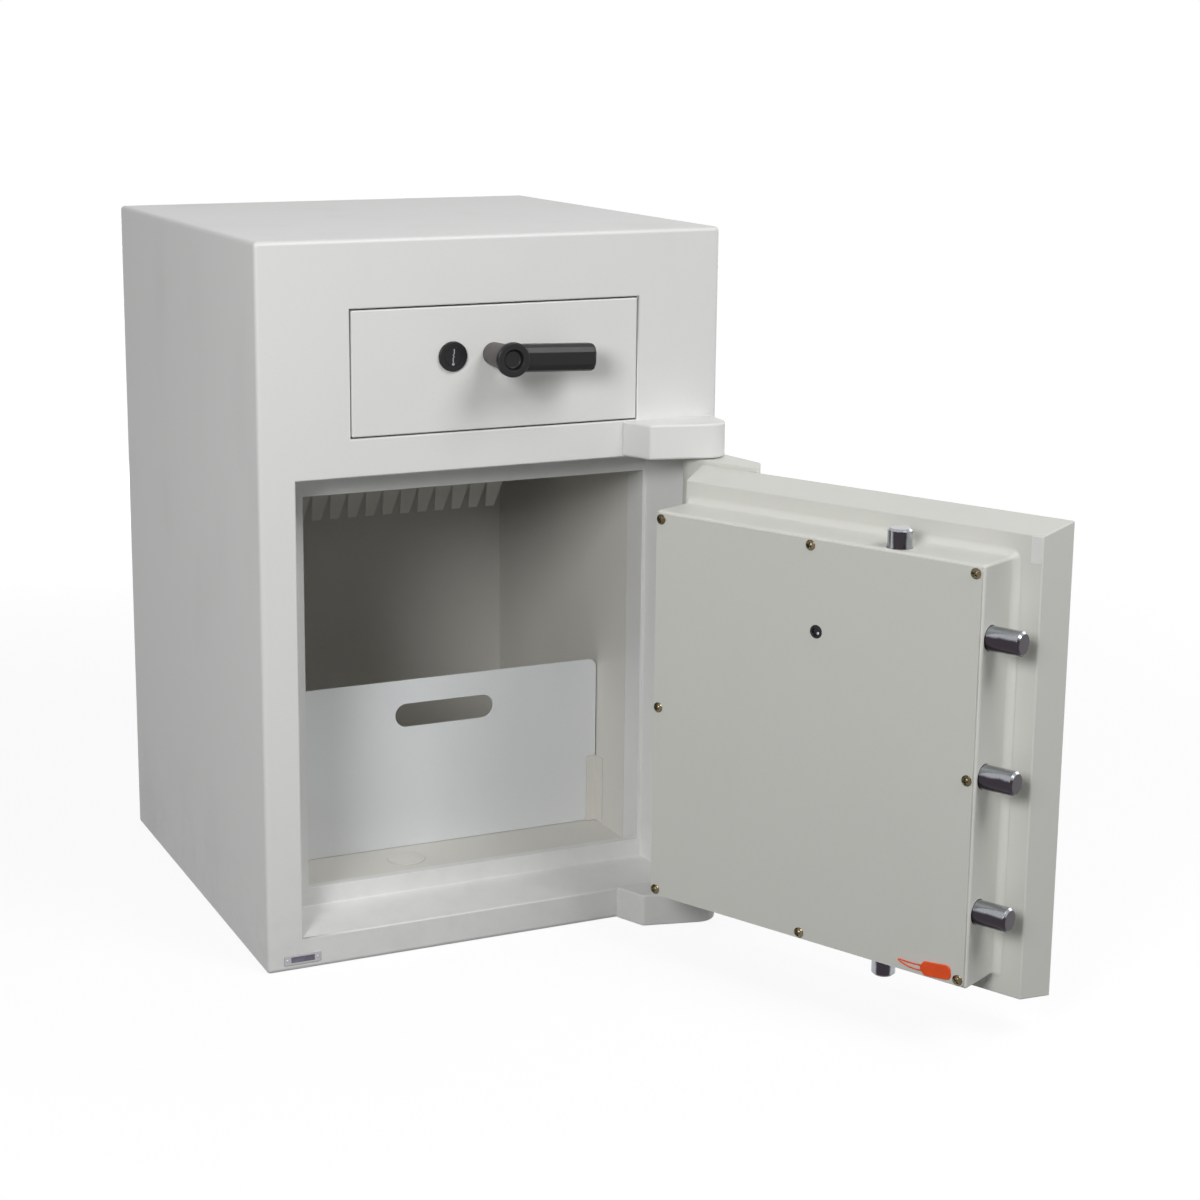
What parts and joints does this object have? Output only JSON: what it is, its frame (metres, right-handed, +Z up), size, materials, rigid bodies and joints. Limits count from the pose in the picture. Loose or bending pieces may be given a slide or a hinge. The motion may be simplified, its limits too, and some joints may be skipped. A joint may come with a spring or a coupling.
{
  "type": "drop safe with deposit drawer",
  "caption": "Upright drop safe: a deposit drawer with a lever and key lock over a thick hinged door with bolts, shown swung open on a lined compartment.",
  "frame": {"origin": "centre of the safe body's underside, between the side faces and between the front and back faces", "axes": "+Z up, -Y out of the front, +X to the right as seen from the front; the hinge line is on the right"},
  "size_m": [0.6085, 0.9195, 0.7],
  "materials": {
    "paint": "satin light grey enamel",
    "lining_paint": "satin grey paint",
    "plate_paint": "satin pale paint on sheet steel",
    "filling": "cast barrier filling",
    "steel": "zinc-plated steel",
    "chrome": "bright plated steel",
    "brass": "passivated yellow plating",
    "black_plastic": "satin black moulding",
    "seal_plastic": "orange moulded seal"
  },
  "bodies": {
    "root": {"outer_casing": "paint", "barrier_fill": "filling", "door_frame": "paint", "inner_liner": "lining_paint", "anchor_hole_cap": "plate_paint", "left_plate_guide": "plate_paint", "right_plate_guide": "plate_paint", "anti_fish_comb": "lining_paint", "drawer_sleeve": "steel", "drop_chute": "steel", "left_drawer_runner": "steel", "right_drawer_runner": "steel", "lower_hinge_block": "paint", "upper_hinge_block": "paint", "lower_hinge_pin": "steel", "upper_hinge_pin": "steel", "hinge_washer": "brass", "rating_plate": "steel"},
    "plate": {"retaining_plate": "plate_paint"},
    "drawer": {"drawer_front": "paint", "drawer_tray": "steel", "key_escutcheon": "black_plastic", "lever_rose": "black_plastic"},
    "drawer_key": {"key_barrel": "black_plastic"},
    "drawer_latch": {"drawer_lever": "black_plastic", "lever_spindle": "steel", "latch_arm": "steel"},
    "door": {"door_slab": "paint", "door_filling": "filling", "hinge_column": "paint", "bolt_box": "paint", "bolt_box_cover": "paint", "cover_screw_1": "brass", "cover_screw_2": "brass", "cover_screw_3": "brass", "cover_screw_4": "brass", "cover_screw_5": "brass", "cover_screw_6": "brass", "cover_screw_7": "brass", "cover_screw_8": "brass", "key_change_bush": "black_plastic", "hard_plate": "steel", "lock_case": "brass", "dial_ring": "chrome", "handle_rose": "black_plastic", "seal_tag": "seal_plastic", "seal_wire": "seal_plastic"},
    "dial": {"combination_dial": "black_plastic"},
    "handle": {"door_handle": "black_plastic", "handle_spindle": "steel", "boltwork_cam": "steel"},
    "side_boltwork": {"side_bolt_bar": "steel", "lower_side_bolt": "chrome", "middle_side_bolt": "chrome", "upper_side_bolt": "chrome"},
    "top_boltwork": {"top_bolt": "chrome", "top_bolt_bar": "steel"},
    "bottom_boltwork": {"bottom_bolt": "chrome", "bottom_bolt_bar": "steel"}
  },
  "joints": [
    {"name": "door_hinge", "type": "hinge", "parent": "root", "child": "door", "pos_m": [0.2135, -0.261, 0.25], "axis": [0, 0, 1], "range_deg": [-102, 60]},
    {"name": "plate_lift", "type": "slide", "parent": "root", "child": "plate", "axis": [0, 0, 1], "range_m": [0, 0.15]},
    {"name": "drawer_slide", "type": "slide", "parent": "root", "child": "drawer", "axis": [0, -1, 0], "range_m": [0, 0.16]},
    {"name": "drawer_key_turn", "type": "hinge", "parent": "drawer", "child": "drawer_key", "pos_m": [-0.0451, -0.24, 0.587], "axis": [0, 1, 0], "range_deg": [0, 90]},
    {"name": "drawer_lever_turn", "type": "hinge", "parent": "drawer", "child": "drawer_latch", "pos_m": [-0.0035, -0.24, 0.5875], "axis": [0, 1, 0], "range_deg": [0, 90]},
    {"name": "dial_spin", "type": "hinge", "parent": "door", "child": "dial", "pos_m": [0.28624, -0.46229, 0.385], "axis": [-0.9026, -0.4305, 0], "continuous": true},
    {"name": "handle_turn", "type": "hinge", "parent": "door", "child": "handle", "pos_m": [0.28624, -0.46229, 0.255], "axis": [-0.9026, -0.4305, 0], "range_deg": [0, 90]},
    {"name": "side_bolts_throw", "type": "slide", "parent": "door", "child": "side_boltwork", "axis": [-0.4305, 0.9026, 0], "range_m": [0, 0.031]},
    {"name": "top_bolt_throw", "type": "slide", "parent": "door", "child": "top_boltwork", "axis": [0, 0, -1], "range_m": [0, 0.018]},
    {"name": "bottom_bolt_throw", "type": "slide", "parent": "door", "child": "bottom_boltwork", "axis": [0, 0, 1], "range_m": [0, 0.018]}
  ],
  "couplings": [
    {"joint": "side_bolts_throw", "follows": "handle_turn", "m_per_rad": 0.019735},
    {"joint": "top_bolt_throw", "follows": "handle_turn", "m_per_rad": 0.011459},
    {"joint": "bottom_bolt_throw", "follows": "handle_turn", "m_per_rad": 0.011459}
  ]
}
